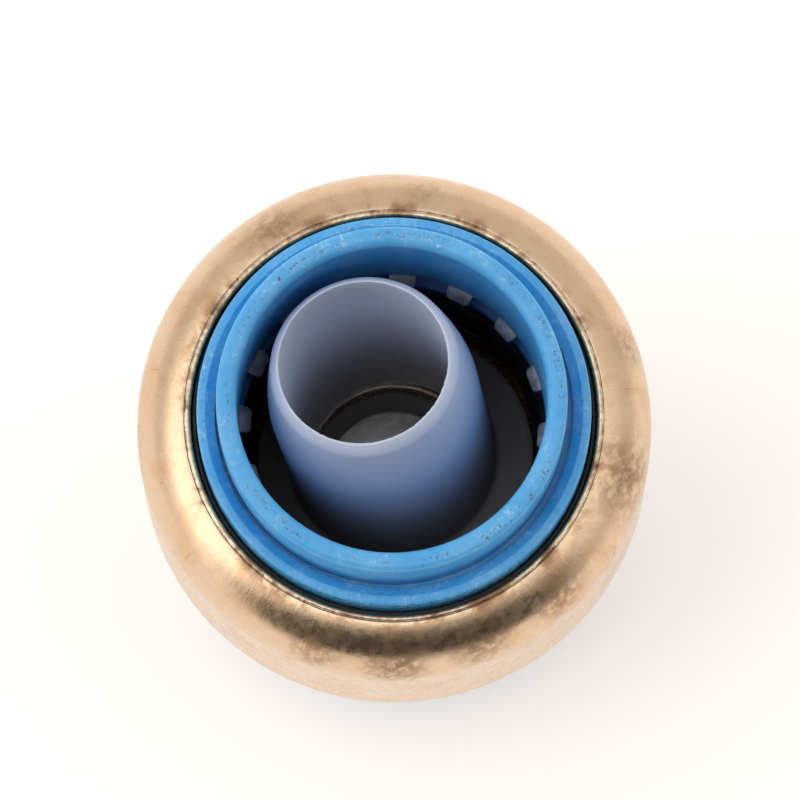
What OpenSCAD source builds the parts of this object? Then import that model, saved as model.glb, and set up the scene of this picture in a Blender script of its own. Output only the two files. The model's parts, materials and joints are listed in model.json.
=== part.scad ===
// Reducing push fit coupling that joins two sizes of water tube in one line.
// The origin is the middle of the tube stop and +Z runs out of the upper socket.
// The upper end is described by its heights above the stop's middle. The lower
// end is the same design for a smaller tube: its mirror image, made smaller in
// the ratio of the two tubes. Both liners are loose and only the upper one leans.

/* [Tube] */
// Outside diameter of the tube that the upper socket takes
tube_od = 15.875; // [12.7:0.125:24]
// Outside diameter of the tube that the lower socket takes
small_tube_od = 12.7; // [11:0.1:15.8]
// Wall of the plastic tube that the liner supports
tube_wall = 1.765; // [1.2:0.005:2.4]
// Depth that the tube goes in, from the collar's end face to the stop
socket_depth = 19.4; // [18:0.1:30]

/* [Body] */
// Thickness of the stop between the two tubes
stop_thick = 3; // [1:0.1:5]
// Diameter of the waterway through the stop
waterway = 9.6; // [7:0.1:9.6]
// Radial gap between the tube and the guide bore
guide_gap = 0.11; // [0.05:0.01:0.3]
// Wall of the narrow waist
waist_wall = 2.2; // [1.2:0.1:3.5]
// Wall of each bell around the cartridge
bell_wall = 1.8; // [1.2:0.1:2.2]
// Distance from each bell's end down to its back shoulder
bell_length = 11.4; // [10.5:0.1:13]
// Radial width of the rounded end, from the lip's edge to the bell's outside
nose_width = 2.95; // [2.9:0.05:4]
// Height of the rounded end
nose_height = 3.3; // [2:0.1:4]
// Thickness of the lip that is rolled over the cartridge
lip_thick = 1.2; // [0.8:0.1:1.6]

/* [Release collar] */
// Radial gap between the tube and the collar
collar_gap = 0.21; // [0.1:0.01:0.4]
// Wall of the collar
collar_wall = 1.05; // [0.9:0.05:1.6]
// Height of the collar above the retaining ring
collar_proud = 3; // [2.6:0.1:5]
// How far the collar goes in to open the teeth
collar_travel = 2; // [1.4:0.1:2.5]
// How far the bead that keeps the collar in stands out
bead_step = 0.5; // [0.35:0.05:0.6]
// How far the collar sits to one side of its clearance
collar_off = 0.12; // [0:0.01:0.12]
// Direction of that shift, as an angle from +X
collar_off_angle = 115; // [0:1:360]

/* [Retaining ring] */
// Radial gap between the collar and the retaining ring
ring_gap = 0.25; // [0.15:0.05:0.4]
// Wall of the retaining ring at its top
ring_wall = 0.95; // [0.85:0.05:1.4]
// Height of the retaining ring above the brass lip
ring_proud = 1.2; // [0.6:0.1:2]
// Radial gap between the retaining ring and the brass lip
lip_gap = 0.35; // [0.2:0.05:0.5]
// Thickness of the ring's hidden shoulder
shoulder_thick = 0.6; // [0.4:0.1:1]
// Thickness of the rubber ring between the shoulder and the lip
gasket_thick = 0.7; // [0.5:0.1:1]

/* [Grab ring] */
// Number of teeth
tooth_count = 16; // [8:1:20]
// Angle that one tooth covers
tooth_angle = 9.9; // [6:0.1:12]
// Angle of the first tooth's middle from +X
tooth_phase = 4.4; // [0:0.1:22.5]
// How far the teeth's tips stand inside the tube's surface
tooth_bite = 0.26; // [0.1:0.01:0.4]
// Slope of the teeth
tooth_slope = 30; // [20:1:35]
// Thickness of the spring steel
steel_thick = 0.35; // [0.2:0.05:0.5]

/* [Seal] */
// Thickness of the rubber of the o-ring
seal_section = 2.6; // [1.8:0.1:3.2]
// How far the o-ring stands inside the tube's surface
seal_squeeze = 0.47; // [0.2:0.01:0.6]
// Thickness of the washer that keeps the o-ring in its pocket
washer_thick = 0.8; // [0.5:0.1:1.2]
// Height of the seat that the grab ring lies on
seat_height = 3.13; // [2.9:0.01:4]

/* [Liner] */
// Radial gap between the liner and the inside of the tube
liner_gap = 0.55; // [0.2:0.05:0.8]
// Wall of the liner at its open tip
liner_tip_wall = 0.36; // [0.2:0.02:0.6]
// Distance of the upright liner's tip below the collar's end face
liner_recess = 1.8; // [0.8:0.1:6]
// Length of the liner's tapered nose
liner_nose = 5.5; // [3:0.1:8]
// How much smaller the nose's tip is than the liner, on the radius
liner_taper = 0.79; // [0.4:0.01:1.2]
// Thickness of the flange that stands on the stop
flange_thick = 1.5; // [0.6:0.1:2.5]
// How far the loose upper liner leans, if nothing stops it sooner
liner_lean = 9.4; // [0:0.1:14]

/* [Hidden] */
$fn = 96;
run_gap = 0.05;        // clearance between flat faces that turn on each other
turn_gap = 0.1;        // radial clearance of the cartridge in the bell
stop_gap = 0.1;        // clearance left at each end of the collar's travel
seal_gap = 0.03;       // radial clearance of the o-ring in its pocket
seal_room = 0.25;      // height that the pocket leaves above the o-ring
lean_gap = 0.05;       // clearance where the leaning liner meets what stops it
bead_gap = 0.2;        // radial clearance of the collar's bead in the retaining ring
root_gap = 0.4;        // distance from the collar's outside to the teeth's roots
flange_gap = 0.45;     // radial clearance of the liner's flange in the bore
liner_slide = 0.3;     // how far the leaning liner's foot has slid away from its lean
arc_steps = 8;         // straight steps in one quarter of a round edge

// Size of the lower end, as a share of the upper end
reduction = small_tube_od / tube_od;

// Radii, from the tube outwards
tube_r = tube_od / 2;
guide_r = tube_r + guide_gap;
stop_r = waterway / 2;
seal_r = tube_r - seal_squeeze;
tip_r = tube_r - tooth_bite;
collar_in_r = tube_r + collar_gap;
collar_r = collar_in_r + collar_wall;
bead_r = collar_r + bead_step;
ring_in_r = collar_r + ring_gap;
recess_r = bead_r + bead_gap;
ring_r = ring_in_r + ring_wall;
lip_r = ring_r + lip_gap;
bell_r = lip_r + nose_width;
bell_in_r = bell_r - bell_wall;
shoulder_r = bell_in_r - turn_gap - run_gap;
pocket_r = seal_r + seal_section + seal_gap;
waist_r = guide_r + waist_wall;
root_r = collar_r + root_gap;

// Heights above the stop's middle, from the mouth downwards
stop_top = stop_thick / 2;
mouth = stop_top + socket_depth;
ring_top = mouth - collar_proud;
lip_top = ring_top - ring_proud;
lip_under = lip_top - lip_thick;
gasket_bottom = lip_under - gasket_thick;
shoulder_top = gasket_bottom - run_gap;
ring_bottom = shoulder_top - shoulder_thick;
steel_bottom = ring_bottom - steel_thick;
seat_bottom = steel_bottom - seat_height;
washer_top = seat_bottom - run_gap;
washer_bottom = washer_top - washer_thick;
pocket_bottom = washer_bottom - seal_section - seal_room;
bell_bottom = lip_top - bell_length;
nose_base = lip_top - nose_height;

// Sizes of the small shapes
edge_round = 0.8;      // round at the bell's back edge
waist_round = 2;       // hollow round where the bell meets the waist
rolled_round = 0.7;    // inside corner of the rolled lip
burr_width = 0.4;      // width of the burnished rim along the lip's edge
groove_width = 0.16;   // width of the tool mark beside that rim
groove_depth = 0.09;   // depth of that tool mark
lead_in = 0.3;         // chamfer at the mouth of the guide bore
collar_in_round = 0.45;
collar_out_round = 0.3;
nose_flat = 0.1;       // flat at the collar's inner end
nose_clear = 0.1;      // clearance between the collar's inner end and the teeth
inner_step = 0.05;     // relief inside the collar's inner end
inner_step_length = 1.1;
bead_height = 0.3;
bead_ramp = 0.4;
ring_flat = 0.45;      // flat at the top of the retaining ring
ring_dish = 0.45;      // depth of the dish inside that flat
ring_round = 0.12;
upstand_wall = 0.25;   // the gasket's thin edge between ring and lip
upstand_height = 0.5;
seat_lip = 0.5;        // inner edge at the foot of the seat
seat_ramp = 0.5;       // height of the slope outside that edge
liner_draft = 0.3;     // how much wider the liner's bore is at its flange
flange_round = 0.3;
nose_steps = 12;

// Teeth: a flat flange with slanting teeth on its inner edge
steel_mid = ring_bottom - steel_thick / 2;
steel_half = steel_thick / 2 / cos(tooth_slope);
tooth_bend = (steel_half - steel_thick / 2) / tan(tooth_slope);
seat_in_r = root_r + tooth_bend + run_gap;
function tooth_mid(r) = steel_mid - (root_r - r) * tan(tooth_slope);
collar_bottom = tooth_mid(collar_in_r + inner_step + nose_flat) + steel_half + nose_clear;
bead_bottom = ring_bottom + collar_travel + stop_gap;
bead_top = bead_bottom + bead_ramp / 2 + bead_height;
recess_top = bead_top + stop_gap;

// Liner and how far it leans on the edge of its flange
liner_r = tube_r - tube_wall - liner_gap;
flange_r = guide_r - flange_gap;
pivot_y = flange_r - liner_slide;
liner_tip_r = liner_r - liner_taper;
bore_r = liner_tip_r - liner_tip_wall;
liner_length = socket_depth - liner_recess;
// Turn that brings a point of the liner, at radius r and length s, out to radius limit
function lean_to(r, s, limit) =
    acos((pivot_y - limit) / norm([flange_r - r, s])) - atan2(s, flange_r - r);
// Turn that lays the straight side of the liner on an edge at radius limit and height z
function lean_on(limit, z) =
    atan2(z, pivot_y - limit)
    - atan2(sqrt(pow(pivot_y - limit, 2) + z * z - pow(flange_r - liner_r, 2)), flange_r - liner_r);
function nose_radius(t) = liner_r - liner_taper * pow(1 - t, 1.5);
function nose_leans() = [for (i = [0 : nose_steps])
    lean_to(nose_radius(i / nose_steps), liner_length - liner_nose * i / nose_steps,
            collar_in_r - lean_gap)];
side_lean = lean_on(tip_r - lean_gap, tooth_mid(tip_r) - stop_top);
lean = min(concat(nose_leans(), [side_lean, liner_lean]));

// Points of a round edge about [r, z], from angle a to angle b
function arc(r, z, rx, rz, a, b, steps = arc_steps) =
    [for (i = [0 : steps]) let (t = a + (b - a) * i / steps) [r + rx * cos(t), z + rz * sin(t)]];

// The same outline at the lower end, in the other order
function below(points) = [for (i = [len(points) - 1 : -1 : 0])
    [reduction * points[i][0], -reduction * points[i][1] - (1 - reduction) * stop_top]];

module turned(points) rotate_extrude() polygon(points);

module lower_end() translate([0, 0, (reduction - 1) * stop_top])
    scale(reduction) mirror([0, 0, 1]) children();

// Outside of one bell, from the waist up to the lip's edge
function bell_outside() = concat(
    arc(waist_r + waist_round, bell_bottom - waist_round, waist_round, waist_round, 180, 90),
    arc(bell_r - edge_round, bell_bottom + edge_round, edge_round, edge_round, -90, 0),
    arc(lip_r, nose_base, nose_width, nose_height, 0, acos(burr_width / nose_width), 2 * arc_steps),
    [[lip_r + burr_width - groove_width / 2, lip_top - groove_depth],
     [lip_r + burr_width - groove_width, lip_top],
     [lip_r, lip_top]]);

// Inside of one socket, from the lip's edge down to the stop
function socket_inside() = concat(
    [[lip_r, lip_under]],
    arc(bell_in_r - rolled_round, lip_under - rolled_round, rolled_round, rolled_round, 90, 0),
    [[bell_in_r, washer_bottom],
     [pocket_r, washer_bottom],
     [pocket_r, pocket_bottom],
     [guide_r + lead_in, pocket_bottom],
     [guide_r, pocket_bottom - lead_in],
     [guide_r, stop_top]]);

module brass_body() {
    half = concat(bell_outside(), socket_inside());
    stop = [[stop_r, stop_top], [stop_r, -stop_top]];
    color("#B5905C") turned(concat(half, stop, below(half)));
}

// Collar that is pushed in to open the teeth
module release_collar() {
    aside = collar_off * [cos(collar_off_angle), sin(collar_off_angle), 0];
    color("#3C9FE0") translate(aside) turned(concat(
        [[collar_in_r + inner_step, collar_bottom],
         [collar_in_r + inner_step + nose_flat, collar_bottom],
         [collar_r, collar_bottom + collar_wall - inner_step - nose_flat],
         [collar_r, bead_bottom - bead_ramp / 2],
         [bead_r, bead_bottom + bead_ramp / 2],
         [bead_r, bead_top],
         [collar_r, bead_top]],
        arc(collar_r - collar_out_round, mouth - collar_out_round,
            collar_out_round, collar_out_round, 0, 90),
        arc(collar_in_r + collar_in_round, mouth - collar_in_round,
            collar_in_round, collar_in_round, 90, 180),
        [[collar_in_r, collar_bottom + inner_step_length],
         [collar_in_r + inner_step, collar_bottom + inner_step_length - inner_step]]));
}

// Ring that the rolled lip holds down, and that holds the collar's bead
module retaining_ring() {
    color("#2369AF") turned(concat(
        [[recess_r, ring_bottom],
         [shoulder_r, ring_bottom],
         [shoulder_r, shoulder_top],
         [ring_r, shoulder_top]],
        arc(ring_r - ring_round, ring_top - ring_round, ring_round, ring_round, 0, 90, 3),
        [[ring_r - ring_flat, ring_top],
         [ring_in_r, ring_top - ring_dish],
         [ring_in_r, recess_top],
         [recess_r, recess_top]]));
}

// Black rubber ring between the retaining ring's shoulder and the lip
module lip_gasket() {
    inner_r = ring_r + run_gap;
    color("#1E2220") turned([
        [inner_r, gasket_bottom],
        [bell_in_r - rolled_round, gasket_bottom],
        [bell_in_r - rolled_round, lip_under],
        [inner_r + upstand_wall, lip_under],
        [inner_r + upstand_wall, lip_under + upstand_height],
        [inner_r, lip_under + upstand_height]]);
}

// Spring steel ring whose teeth grip the tube: a flange with a slotted cone inside it
module grab_ring() {
    slot_angle = 360 / tooth_count - tooth_angle;
    color("#8A8A8C") difference() {
        turned([[shoulder_r, steel_bottom],
                [shoulder_r, ring_bottom],
                [root_r - tooth_bend, ring_bottom],
                [tip_r, tooth_mid(tip_r) + steel_half],
                [tip_r, tooth_mid(tip_r) - steel_half],
                [root_r + tooth_bend, steel_bottom]]);
        for (k = [0 : tooth_count - 1])
            rotate([0, 0, tooth_phase + tooth_angle / 2 + k * 360 / tooth_count])
                rotate_extrude(angle = slot_angle)
                    translate([tip_r - 1, seat_bottom]) square([root_r - tip_r + 1, seat_height + 1]);
    }
}

// Seat under the grab ring, open below the teeth so that they can bend
module grab_ring_seat() {
    color("#1F5C9C") turned([
        [collar_in_r + run_gap, seat_bottom],
        [shoulder_r, seat_bottom],
        [shoulder_r, steel_bottom],
        [seat_in_r, steel_bottom],
        [seat_in_r, seat_bottom + seat_lip + seat_ramp],
        [collar_in_r + run_gap, seat_bottom + seat_lip]]);
}

// Washer that keeps the o-ring in its pocket
module seal_washer() {
    color("#222426") turned([
        [collar_in_r, washer_bottom],
        [bell_in_r - turn_gap, washer_bottom],
        [bell_in_r - turn_gap, washer_top],
        [collar_in_r, washer_top]]);
}

module o_ring() {
    color("#141516") rotate_extrude()
        translate([seal_r + seal_section / 2, pocket_bottom + seal_section / 2])
            circle(d = seal_section);
}

// Thin sleeve that goes inside a plastic tube and keeps it round
module tube_liner() {
    tip = stop_top + liner_length;
    color("#8FA3CC") turned(concat(
        [[bore_r + liner_draft, stop_top],
         [flange_r, stop_top],
         [flange_r, stop_top + flange_thick - flange_round],
         [flange_r - flange_round, stop_top + flange_thick]],
        arc(liner_r + flange_round, stop_top + flange_thick + flange_round,
            flange_round, flange_round, -90, -180, 3),
        [for (i = [0 : nose_steps]) let (t = 1 - i / nose_steps)
            [nose_radius(t), tip - liner_nose * t]],
        [[bore_r, tip]]));
}

// The liner slid back and turned about the edge of its flange, towards +Y
module leaning() {
    translate([0, pivot_y, stop_top]) rotate([-lean, 0, 0])
        translate([0, -flange_r, -stop_top]) children();
}

module upper_release_collar() release_collar();
module lower_release_collar() lower_end() release_collar();
module upper_retaining_ring() retaining_ring();
module lower_retaining_ring() lower_end() retaining_ring();
module upper_lip_gasket() lip_gasket();
module lower_lip_gasket() lower_end() lip_gasket();
module upper_grab_ring() grab_ring();
module lower_grab_ring() lower_end() grab_ring();
module upper_grab_ring_seat() grab_ring_seat();
module lower_grab_ring_seat() lower_end() grab_ring_seat();
module upper_seal_washer() seal_washer();
module lower_seal_washer() lower_end() seal_washer();
module upper_o_ring() o_ring();
module lower_o_ring() lower_end() o_ring();
module upper_tube_liner() leaning() tube_liner();
module lower_tube_liner() lower_end() tube_liner();

brass_body();
upper_release_collar();
lower_release_collar();
upper_retaining_ring();
lower_retaining_ring();
upper_lip_gasket();
lower_lip_gasket();
upper_grab_ring();
lower_grab_ring();
upper_grab_ring_seat();
lower_grab_ring_seat();
upper_seal_washer();
lower_seal_washer();
upper_o_ring();
lower_o_ring();
upper_tube_liner();
lower_tube_liner();
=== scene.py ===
"""Looks of a reducing push fit coupling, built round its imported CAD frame.

Every ring of the coupling is a surface of revolution: a closed outline of radii
and heights is rounded at its corners, cut into short steps and carried round
the tube axis on a grid of angle by outline point. Wear that has a shape, such
as the hammered rim of the rolled lip or the nicks on the liner's tip, is added
to that grid as a smooth periodic function of the angle. Lengths are in
millimetres until a mesh is made, and metres in Blender.
"""

from __future__ import annotations

import json
import logging
import math
from dataclasses import dataclass
from enum import Enum
from typing import Any, Callable, Optional

import bpy
import numpy as np
from mathutils import Matrix, Vector

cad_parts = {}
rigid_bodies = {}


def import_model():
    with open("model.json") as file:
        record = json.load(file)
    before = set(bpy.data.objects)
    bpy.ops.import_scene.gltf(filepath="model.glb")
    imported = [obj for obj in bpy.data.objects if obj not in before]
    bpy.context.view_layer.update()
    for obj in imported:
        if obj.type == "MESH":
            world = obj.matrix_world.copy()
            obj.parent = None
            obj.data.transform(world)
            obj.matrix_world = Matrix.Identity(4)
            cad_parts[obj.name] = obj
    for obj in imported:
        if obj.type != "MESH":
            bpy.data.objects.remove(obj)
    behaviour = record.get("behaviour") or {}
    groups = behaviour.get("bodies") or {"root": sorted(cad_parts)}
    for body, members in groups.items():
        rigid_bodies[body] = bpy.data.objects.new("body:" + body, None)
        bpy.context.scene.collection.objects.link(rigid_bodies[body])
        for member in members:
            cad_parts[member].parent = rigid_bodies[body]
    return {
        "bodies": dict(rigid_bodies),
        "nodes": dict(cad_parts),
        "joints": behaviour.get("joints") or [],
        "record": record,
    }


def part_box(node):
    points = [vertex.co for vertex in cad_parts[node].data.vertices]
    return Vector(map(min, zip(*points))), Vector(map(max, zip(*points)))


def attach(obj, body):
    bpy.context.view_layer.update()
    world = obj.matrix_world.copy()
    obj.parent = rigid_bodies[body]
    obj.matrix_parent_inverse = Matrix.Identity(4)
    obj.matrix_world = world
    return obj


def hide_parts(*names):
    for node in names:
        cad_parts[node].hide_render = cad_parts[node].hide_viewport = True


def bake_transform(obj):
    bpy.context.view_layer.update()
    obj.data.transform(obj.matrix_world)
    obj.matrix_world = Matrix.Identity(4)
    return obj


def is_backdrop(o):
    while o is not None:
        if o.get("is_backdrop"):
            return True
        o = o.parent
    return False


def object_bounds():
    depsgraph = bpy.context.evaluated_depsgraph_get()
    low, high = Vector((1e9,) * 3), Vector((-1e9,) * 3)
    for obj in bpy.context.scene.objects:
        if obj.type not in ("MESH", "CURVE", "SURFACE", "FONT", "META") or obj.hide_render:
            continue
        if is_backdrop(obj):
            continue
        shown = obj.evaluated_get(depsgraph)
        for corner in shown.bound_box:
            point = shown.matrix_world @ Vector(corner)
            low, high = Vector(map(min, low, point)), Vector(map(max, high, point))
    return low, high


LOG = logging.getLogger("coupling")
MM = 0.001
SMOOTH = {"interpolation_type": "SMOOTHSTEP"}
Shift = Callable[[np.ndarray, np.ndarray, np.ndarray], tuple[np.ndarray, np.ndarray]]


class End(Enum):
    """The two ends of the coupling, by the sign of their heights."""

    UPPER = 1
    LOWER = -1

    def node(self, name: str) -> str:
        """Name of this end's CAD node or body."""
        return f"{self.name.lower()}_{name}"


# ---------------------------------------------------------------- outlines


def rounded(corners: list[tuple[float, float, float]], steps: int = 5) -> np.ndarray:
    """Rounds the corners of a closed outline.

    At each corner a circle of the asked radius touches both sides, and its arc
    takes the corner's place. The touching points lie radius / tan(half angle)
    from the corner, and never further than 0.48 of the shorter side.

    Args:
        corners: Radius, height and rounding radius of each corner, in order.
        steps: Straight steps in each arc.

    Returns:
        The outline's points, one row each.
    """
    points = np.array([c[:2] for c in corners], float)
    radii = np.array([c[2] for c in corners], float)
    back = np.roll(points, 1, axis=0) - points
    ahead = np.roll(points, -1, axis=0) - points
    back_length = np.linalg.norm(back, axis=1)
    ahead_length = np.linalg.norm(ahead, axis=1)
    u = back / back_length[:, None]
    v = ahead / ahead_length[:, None]
    half = 0.5 * np.arccos(np.clip((u * v).sum(1), -1.0, 1.0))
    reach = np.minimum(radii / np.tan(half), 0.48 * np.minimum(back_length, ahead_length))
    share = np.linspace(0.0, 1.0, steps + 1)
    made = []
    for p, a, b, r, h in zip(points, u, v, reach, half):
        if r < 1e-6:
            made.append(p[None, :])
            continue
        start, end = p + a * r, p + b * r
        centre = p + (a + b) / np.linalg.norm(a + b) * (r / math.cos(h))
        turn = math.pi - 2.0 * h
        first = np.sin((1.0 - share) * turn)[:, None] * (start - centre)
        last = np.sin(share * turn)[:, None] * (end - centre)
        made.append(centre + (first + last) / math.sin(turn))
    return np.vstack(made)


def stepped(outline: np.ndarray, longest: float) -> np.ndarray:
    """Cuts each side of a closed outline into equal steps no longer than longest."""
    ends = np.roll(outline, -1, axis=0)
    counts = np.maximum(1, np.ceil(np.linalg.norm(ends - outline, axis=1) / longest)).astype(int)
    starts = np.repeat(outline, counts, axis=0)
    sides = np.repeat(ends - outline, counts, axis=0)
    first = np.repeat(np.cumsum(counts) - counts, counts)
    share = (np.arange(counts.sum()) - first) / np.repeat(counts, counts)
    return starts + sides * share[:, None]


def arc(centre: tuple[float, float], radii: tuple[float, float], start: float, end: float, steps: int) -> np.ndarray:
    """Points of an elliptic arc: centre plus radii times cosine and sine, from start to end degrees."""
    t = np.radians(np.linspace(start, end, steps + 1))
    return np.stack([centre[0] + radii[0] * np.cos(t), centre[1] + radii[1] * np.sin(t)], axis=1)


def waves(angle: np.ndarray, lowest: int, highest: int, count: int, seed: int) -> np.ndarray:
    """Smooth noise that closes on itself round a circle, about one unit high.

    It is a sum of cosines of whole multiples of the angle, each with its own
    height and phase.

    Args:
        angle: Angles in radians.
        lowest: Fewest waves in one turn.
        highest: Most waves in one turn.
        count: How many cosines are added.
        seed: Seed of the draw.

    Returns:
        The sum, at each angle.
    """
    draw = np.random.default_rng(seed)
    number = draw.integers(lowest, highest + 1, count)
    phase = draw.uniform(0.0, 2.0 * math.pi, count)
    height = draw.uniform(0.4, 1.0, count) / math.sqrt(count)
    return (height * np.cos(angle[..., None] * number + phase)).sum(-1)


def bump(x: np.ndarray, centre: float, half_width: float) -> np.ndarray:
    """A smooth hill: one at its centre and zero half_width away, as (1 - d squared) squared."""
    d = np.clip(np.abs(x - centre) / half_width, 0.0, 1.0)
    return (1.0 - d**2) ** 2


# ---------------------------------------------------------------- meshes


def make_mesh(name: str, points: np.ndarray, quads: np.ndarray) -> bpy.types.Object:
    """Makes a smooth shaded mesh object at the origin.

    Args:
        name: The piece's name.
        points: Corners in millimetres.
        quads: Four corner numbers for each face. Faces that look inwards,
            which a negative enclosed volume shows, are all turned round.

    Returns:
        The object.
    """
    a, b, c = points[quads[:, 0]], points[quads[:, 1]], points[quads[:, 2]]
    d = points[quads[:, 3]]
    volume = (np.cross(b - a, c - a) * a).sum() + (np.cross(c - a, d - a) * a).sum()
    if volume < 0.0:
        quads = quads[:, ::-1]
    mesh = bpy.data.meshes.new(name)
    mesh.vertices.add(len(points))
    mesh.vertices.foreach_set("co", (points * MM).astype(np.float32).ravel())
    mesh.loops.add(quads.size)
    mesh.loops.foreach_set("vertex_index", quads.astype(np.int32).ravel())
    mesh.polygons.add(len(quads))
    mesh.polygons.foreach_set("loop_start", np.arange(0, quads.size, 4, dtype=np.int32))
    mesh.polygons.foreach_set("use_smooth", np.ones(len(quads), bool))
    mesh.update(calc_edges=True)
    mesh.validate()
    piece = bpy.data.objects.new(name, mesh)
    bpy.context.scene.collection.objects.link(piece)
    return piece


def ring_quads(rows: int, columns: int) -> np.ndarray:
    """Faces of a grid that closes on itself both ways, rows by columns."""
    i, j = np.meshgrid(np.arange(rows), np.arange(columns), indexing="ij")
    i2, j2 = (i + 1) % rows, (j + 1) % columns
    return np.stack([i * columns + j, i2 * columns + j, i2 * columns + j2, i * columns + j2], -1).reshape(-1, 4)


def revolved(
    name: str, outline: np.ndarray, segments: int, end: End = End.UPPER, shift: Optional[Shift] = None
) -> bpy.types.Object:
    """Carries a closed outline round the tube axis.

    A point of radius r and height z at angle t goes to (r cos t, r sin t, z),
    and the lower end has its heights negated.

    Args:
        name: The piece's name.
        outline: Radii and heights, one row each.
        segments: Steps round the axis.
        end: Which end of the coupling the piece is in.
        shift: Function of angle, radius and height that gives how much the
            radius and the height change there.

    Returns:
        The object.
    """
    angle = np.linspace(0.0, 2.0 * math.pi, segments, endpoint=False)[:, None]
    r, z, t = np.broadcast_arrays(outline[None, :, 0], outline[None, :, 1], angle)
    if shift is not None:
        dr, dz = shift(t, r, z)
        r, z = r + dr, z + dz
    points = np.stack([r * np.cos(t), r * np.sin(t), z * end.value], -1).reshape(-1, 3)
    return make_mesh(name, points, ring_quads(segments, len(outline)))


def moved(piece: bpy.types.Object, matrix: Matrix) -> None:
    """Puts a turn or a shift into a piece's mesh, so that its object stays at the origin."""
    piece.data.transform(matrix)
    piece.data.update()


# ---------------------------------------------------------------- nodes


def linear(hex_colour: str) -> tuple[float, float, float, float]:
    """Turns an sRGB hex colour into linear red, green, blue and alpha."""
    s = [int(hex_colour[k : k + 2], 16) / 255.0 for k in (1, 3, 5)]
    rgb = [c / 12.92 if c <= 0.04045 else ((c + 0.055) / 1.055) ** 2.4 for c in s]
    return (rgb[0], rgb[1], rgb[2], 1.0)


def add(tree: bpy.types.NodeTree, kind: str, inputs: Optional[dict[Any, Any]] = None, out: Any = 0,
        **settings: Any) -> Any:
    """Adds one node to a tree.

    Args:
        tree: The node tree.
        kind: The node type's name after "ShaderNode".
        inputs: Input name or number to an output socket to link, or a value.
        out: Name or number of the output that is wanted.
        settings: The node's own properties.

    Returns:
        The output's socket, or None for a node without outputs.
    """
    node = tree.nodes.new("ShaderNode" + kind)
    for key, value in settings.items():
        setattr(node, key, value)
    for key, value in (inputs or {}).items():
        if isinstance(value, bpy.types.NodeSocket):
            tree.links.new(value, node.inputs[key])
        else:
            node.inputs[key].default_value = value
    return node.outputs[out] if node.outputs else None


def new_material(name: str) -> tuple[bpy.types.Material, bpy.types.NodeTree]:
    """Makes an empty material and returns it with its tree."""
    material = bpy.data.materials.new(name)
    material.use_nodes = True
    material.node_tree.nodes.clear()
    return material, material.node_tree


def finished(material: bpy.types.Material, values: dict[str, Any]) -> bpy.types.Material:
    """Gives a material its surface, with these sockets or values, and returns it."""
    tree = material.node_tree
    add(tree, "OutputMaterial", {0: add(tree, "BsdfPrincipled", values)})
    return material


@dataclass(frozen=True)
class Pattern:
    """A cloudy pattern on a surface.

    Its lumps are size_mm across. Where along is not zero it is strokes round the
    axis instead: two pi times along of them follow one another in a turn, and
    across of them lie side by side in a millimetre of radius or height.
    """

    size_mm: float
    detail: float
    contrast: float
    swirl: float = 0.0
    along: float = 0.0
    across: float = 0.0


@dataclass(frozen=True)
class TarnishAndReflectionSpot:
    """A soft dark brown patch on the bell, painted as tarnish and, on the side towards the camera, as the dark
    reflection there: its place on the bell, its size and how strong it is.
    """

    angle_deg: float
    radius: float
    height: float
    half_width: float
    strength: float


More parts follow.
